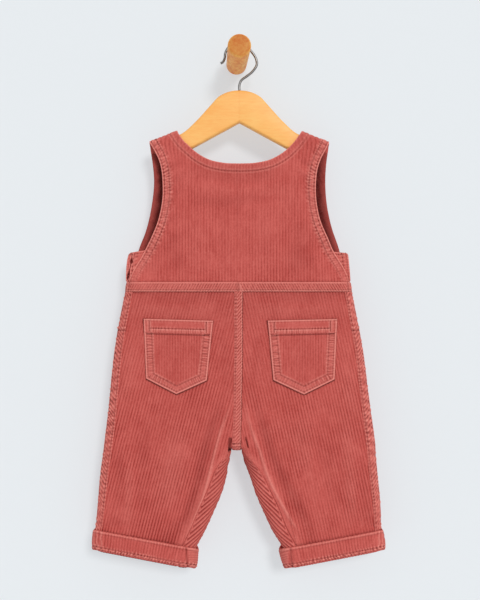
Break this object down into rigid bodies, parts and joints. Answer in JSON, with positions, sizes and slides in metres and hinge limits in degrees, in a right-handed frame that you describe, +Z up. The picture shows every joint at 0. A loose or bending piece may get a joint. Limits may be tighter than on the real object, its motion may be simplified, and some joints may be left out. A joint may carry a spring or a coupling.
{
  "type": "baby corduroy dungarees on a wooden hanger and wall peg",
  "caption": "Sleeveless baby dungarees in ribbed corduroy with patch pockets and turned-up cuffs, hung by the shoulders on a wooden hanger whose wire hook rests on a round wall peg.",
  "frame": {"origin": "centre of the peg's flat back face, where it stands on the wall", "axes": "+Z up along the hanging garment, +Y into the wall, +X to the right as the garment's back is seen"},
  "size_m": [0.3527, 0.08, 0.6322],
  "materials": {
    "corduroy": "fine wale cotton corduroy, soft matt nap",
    "hanger_wood": "pale maple, clear satin lacquer",
    "peg_wood": "oiled beech with mottled grain",
    "hook_wire": "dull dark steel wire"
  },
  "bodies": {
    "root": {"back_bodice": "corduroy", "front_bodice": "corduroy", "side_placket_left": "corduroy", "side_placket_right": "corduroy", "waistband_back": "corduroy", "waistband_front": "corduroy", "leg_back_left": "corduroy", "leg_front_left": "corduroy", "leg_back_right": "corduroy", "leg_front_right": "corduroy", "seam_centre_back": "corduroy", "seam_centre_front": "corduroy", "seam_side_left": "corduroy", "seam_side_right": "corduroy", "pocket_left": "corduroy", "pocket_right": "corduroy", "cuff_left": "corduroy", "cuff_right": "corduroy", "hanger": "hanger_wood", "hook": "hook_wire", "peg": "peg_wood"}
  },
  "joints": []
}
